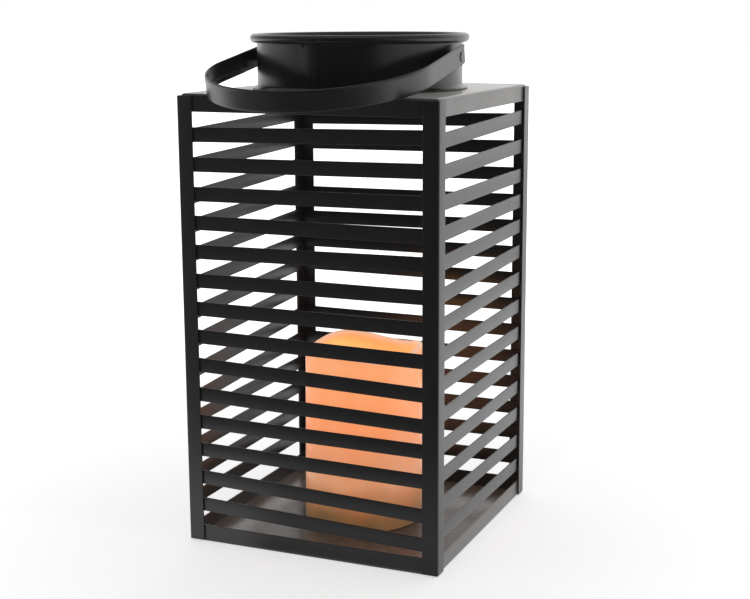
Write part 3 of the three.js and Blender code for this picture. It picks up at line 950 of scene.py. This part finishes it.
def wax_profile(low, top):
    """The wax shell's closed section: foot, wall, lip, melted hollow, stalk hole and battery cavity."""
    floor = low + WAX_FLOOR
    roof = low + WAX_ROOF
    foot_ease = 1.0 * MM
    start = (WAX_CAVITY, low + 0.3 * MM)
    profile = [start, (WAX_CAVITY + 0.4 * MM, low)]
    for angle in quarter_arc(6):
        reach = WAX_FOOT - foot_ease * (1 - math.sin(angle))
        profile.append((reach, low + foot_ease * (1 - math.cos(angle))))
    steps = 14
    wall_height = top - 5 * MM - low
    for k in range(1, steps + 1):
        share = k / steps
        taper = (WAX_FOOT - WAX_RADIUS) * min(1.0, share * 1.1)
        profile.append((WAX_FOOT - taper, low + MM + wall_height * share))
    profile += [(WAX_RADIUS - inset * MM, top - drop * MM) for inset, drop in WAX_LIP]
    bowl = WAX_RADIUS - 6 * MM
    for angle in quarter_arc(8, 1):
        profile.append((bowl - 7 * MM * (1 - math.cos(angle)), floor + 6 * MM * (1 - math.sin(angle))))
    profile += [
        (22 * MM, floor + 0.2 * MM),
        (14 * MM, floor),
        (WAX_STALK + 0.8 * MM, floor),
        (WAX_STALK, floor - 0.8 * MM),
        (WAX_STALK, roof + 1.5 * MM),
        (WAX_STALK + 0.6 * MM, roof + 1 * MM),
        (WAX_CAVITY - 2 * MM, roof),
        (WAX_CAVITY, roof - 2 * MM),
        start,
    ]
    return profile


def wax_shell(material):
    """The wax shell: straight sides that lean a little, a thin wavy lip and a melted hollow."""
    low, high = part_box("candle_wax_shell")
    top = high.z - WAX_WAVE
    floor = low.z + WAX_FLOOR

    def melt(point, angle):
        across, along = math.cos(angle), math.sin(angle)
        melted = smooth(floor + 6 * MM, top, point.z)
        lift = WAX_WAVE * math.cos(3 * (angle - WAX_WAVE_TURN)) * melted
        lift += 0.35 * MM * wander(across * 4, along * 4, 7) * melted
        reach = Vector((point.x, point.y)).length
        outer = smooth(WAX_CAVITY, WAX_RADIUS, reach)
        swell = min(0.0, 0.25 * MM * wander(across * 2, along * 2, point.z * 25) * outer)
        skin = smooth(WAX_CAVITY + 0.1 * MM, WAX_CAVITY + 0.8 * MM, reach)
        lean = WAX_LEAN * (point.z - low.z) / (top - low.z) * skin
        return point + Vector((across * swell, along * swell, lift)) + lean

    piece = lathe("melted_wax_shell", wax_profile(low.z, top), 160, melt, sharp=60)
    stand_for(piece, "candle_wax_shell", "candle", material)


def candle_base(dark, pale):
    """The parts seen from below: housing, battery door and switch."""
    for node, body, slot, material in (
        ("candle_base_housing", "candle", "dark_plastic", dark),
        ("candle_battery_door", "battery_door", "dark_plastic", dark),
        ("candle_switch_slider", "switch", "pale_plastic", pale),
    ):
        piece = softened(node, node.replace("candle_", "moulded_"), MOULDED_EDGE)
        stand_for(piece, node, body, material)


def candle_led(material):
    """A round LED: a flange and a domed lens."""
    low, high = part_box("candle_led")
    ease = 0.2 * MM
    profile = [
        (0, low.z),
        (LED_FLANGE - ease, low.z),
        (LED_FLANGE, low.z + ease),
        (LED_FLANGE, low.z + MM - ease),
        (LED_FLANGE - ease, low.z + MM),
        (LED_LENS, low.z + MM),
        (LED_LENS, high.z - LED_LENS),
    ]
    for angle in quarter_arc(8, 1)[:-1]:
        profile.append((LED_LENS * math.cos(angle), high.z - LED_LENS * (1 - math.sin(angle))))
    profile.append((0, high.z))
    piece = lathe("domed_led", profile, 40)
    stand_for(piece, "candle_led", "candle", material)


def finish_cad_node(node, material):
    """Gives a CAD node that stays as it is a better material."""
    mesh = frame["nodes"][node].data
    mesh.materials.clear()
    mesh.materials.append(material)


# ---------------------------------------------------------------- studio

def floor_material():
    """Pale paper with a painted glow that is weaker near the object and brightens to white away from it."""
    s = Finish("pale_floor_painted_glow")
    distance = s.vector("LENGTH", s.place())
    s.set(
        Base_Color=(0.80, 0.80, 0.81),
        Roughness=0.9,
        Specular_IOR_Level=0.1,
        # a painted glow, weaker near the object and brighter further away
        Emission_Color=WHITE,
        Emission_Strength=s.spread(distance, *FLOOR_FADE, FLOOR_NEAR_GLOW, FLOOR_FAR_GLOW),
        Normal=s.bump(s.noise(600, 2, 0.5), 0.02, 0.2 * MM),
    )
    return s.material


def plane(name, corners, material):
    """A flat piece of the studio."""
    bm = bmesh.new()
    bm.faces.new([bm.verts.new(corner) for corner in corners])
    mesh = bpy.data.meshes.new(name)
    bm.to_mesh(mesh)
    bm.free()
    mesh.materials.append(material)
    made = bpy.data.objects.new(name, mesh)
    bpy.context.scene.collection.objects.link(made)
    return made


def card_finish(name):
    """A surface that reflects nothing and has yet to be given a glow."""
    s = Finish(name)
    s.set(Base_Color=(0, 0, 0), Roughness=1.0, Specular_IOR_Level=0.0)
    return s


def front_card_material():
    """A painted reflection: shines as dimly as the floor in front should look in the metal, and more towards
    the left.
    """
    s = card_finish("dim_reflection_card")
    away = s.math("MULTIPLY", s.axis("Y"), -1.0)
    to_left = s.math("DIVIDE", s.axis("X"), s.axis("Y"))
    extra = s.math("MULTIPLY", s.spread(to_left, 0.3, 0.62), s.spread(away, 0.15, 0.4, 0.50, 0.13))
    s.set(Emission_Color=WHITE, Emission_Strength=s.math("ADD", s.ramp(away, *FRONT_GLOW), extra))
    return s.material


def side_card_material():
    """A painted reflection: shines a little more than the floor does, for the metal's right side."""
    s = card_finish("bright_reflection_card")
    distance = s.vector("LENGTH", s.place())
    colour = s.ramp(distance, *[(at, glow / SIDE_PEAK) for at, glow in SIDE_GLOW])
    s.set(Emission_Color=colour, Emission_Strength=SIDE_PEAK)
    return s.material


def card(name, corners, material):
    """A card just over the floor that only reflections show."""
    made = plane(name, [(x, y, CARD_LEVEL) for x, y in corners], material)
    made.visible_camera = False
    made.visible_shadow = False
    made.visible_diffuse = False
    made.visible_transmission = False


def surround():
    """The room: a bright backdrop behind the lantern that fades round the sides, and a dim ceiling.
    The camera itself sees plain white."""
    world = bpy.data.worlds.new("surround")
    world.use_nodes = True
    bpy.context.scene.world = world
    s = Shader(world.node_tree)
    direction = s.node("ShaderNodeTexCoord").outputs["Generated"]
    level = s.vector("NORMALIZE", s.vector("MULTIPLY", direction, FLAT))
    facing = s.vector("DOT_PRODUCT", level, (math.cos(BACKDROP), math.sin(BACKDROP), 0))
    turn = s.math("MULTIPLY_ADD", facing, 0.5, 0.5)
    around = s.ramp(turn, *[(position, value / ROOM_PEAK) for position, value in ROOM])
    up = s.spread(s.axis("Z", direction), 0.25, 0.85)
    room = s.tree.nodes["Background"]
    s.put(room.inputs["Color"], s.mix(up, around, (CEILING / ROOM_PEAK,) * 3))
    s.put(room.inputs["Strength"], ROOM_PEAK)
    plain = s.node("ShaderNodeBackground")
    s.put(plain.inputs["Color"], WHITE)
    choose = s.node("ShaderNodeMixShader")
    s.link(s.node("ShaderNodeLightPath").outputs["Is Camera Ray"], choose.inputs["Fac"])
    s.link(room.outputs["Background"], choose.inputs[1])
    s.link(plain.outputs["Background"], choose.inputs[2])
    s.link(choose.outputs["Shader"], s.tree.nodes["World Output"].inputs["Surface"])


def studio():
    """A pale floor with a painted glow, the room, and two cards over the floor that only reflections show, as
    painted reflections.
    """
    half = FLOOR_HALF
    plane("floor", [(-half, -half, 0), (half, -half, 0), (half, half, 0), (-half, half, 0)], floor_material())
    surround()
    front = [
        (-FRONT_FAR_HALF, -FRONT_FAR),
        (FRONT_FAR_HALF, -FRONT_FAR),
        (FRONT_NEAR_HALF, -CARD_NEAR),
        (-FRONT_NEAR_HALF, -CARD_NEAR),
    ]
    card("front_reflection_card", front, front_card_material())
    side = [
        (CARD_NEAR, SIDE_START),
        (SIDE_WIDTH, SIDE_START),
        (2 * SIDE_WIDTH, SIDE_DEPTH),
        (CARD_NEAR, SIDE_DEPTH),
    ]
    card("side_reflection_card", side, side_card_material())


def camera():
    """The camera, a little above the collar and to the right of the front."""
    data = bpy.data.cameras.new("camera")
    data.sensor_width = CAMERA_SENSOR
    data.lens = CAMERA_LENS
    data.clip_start = CAMERA_CLIP
    made = bpy.data.objects.new("camera", data)
    bpy.context.scene.collection.objects.link(made)
    turn = Matrix.Rotation(CAMERA_YAW, 4, "Z") @ Matrix.Rotation(QUARTER - CAMERA_PITCH, 4, "X")
    turn = turn @ Matrix.Rotation(CAMERA_ROLL, 4, "Z")
    made.matrix_world = Matrix.Translation(CAMERA_PLACE) @ turn
    bpy.context.scene.camera = made


def exposure():
    settings = bpy.context.scene.view_settings
    settings.view_transform = "Standard"
    settings.look = "None"
    settings.exposure = 0
    settings.gamma = 1


# ---------------------------------------------------------------- the scene

def build_metal():
    """The lantern and its handle."""
    steel = black_steel()
    top_plate(dusty_steel("dusty_top_powder_coat", 1.0, 0.7, 0.20))
    bottom_tray(dusty_steel("dusty_tray_powder_coat", 0.45, 0.6, 0.22))
    for place in ("front_left", "front_right", "back_left", "back_right"):
        corner_post(place, steel)
    for face in FACES:
        slat_panel(face, steel)
    collar(steel)
    handle_strap(steel)
    for place, side in (("left", -1), ("right", 1)):
        pivot_pieces(place, side, steel)


def build_candle():
    """The candle, with what is inside it."""
    dark = moulded_plastic("dark_moulded_plastic", (0.035, 0.032, 0.03), (0.022, 0.02, 0.019), 0.45)
    pale = moulded_plastic("pale_moulded_plastic", (0.80, 0.77, 0.70), (0.72, 0.69, 0.62), 0.42)
    board = moulded_plastic("solder_mask", (0.03, 0.17, 0.06), (0.02, 0.12, 0.045), 0.35)
    red = moulded_plastic("red_insulation", (0.42, 0.03, 0.02), (0.34, 0.02, 0.015), 0.45)
    black = moulded_plastic("black_insulation", (0.02, 0.02, 0.02), (0.012, 0.012, 0.012), 0.45)
    metal = plated_metal()
    cell = battery_jacket()
    low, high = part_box("candle_wax_shell")
    wax_shell(candle_wax(low.z, high.z))
    candle_base(dark, pale)
    candle_led(amber_lens())
    finish_cad_node("candle_led_holder", pale)
    finish_cad_node("candle_circuit_board", board)
    finish_cad_node("candle_led_lead_a", red)
    finish_cad_node("candle_led_lead_b", black)
    for letter in ("a", "b"):
        finish_cad_node(f"candle_battery_{letter}", cell)
        finish_cad_node(f"candle_contact_spring_{letter}", metal)
        finish_cad_node(f"candle_board_screw_{letter}", metal)
    for part in ("bridge", "positive", "negative"):
        finish_cad_node(f"candle_contact_{part}", metal)


camera()
exposure()
studio()
build_metal()
build_candle()
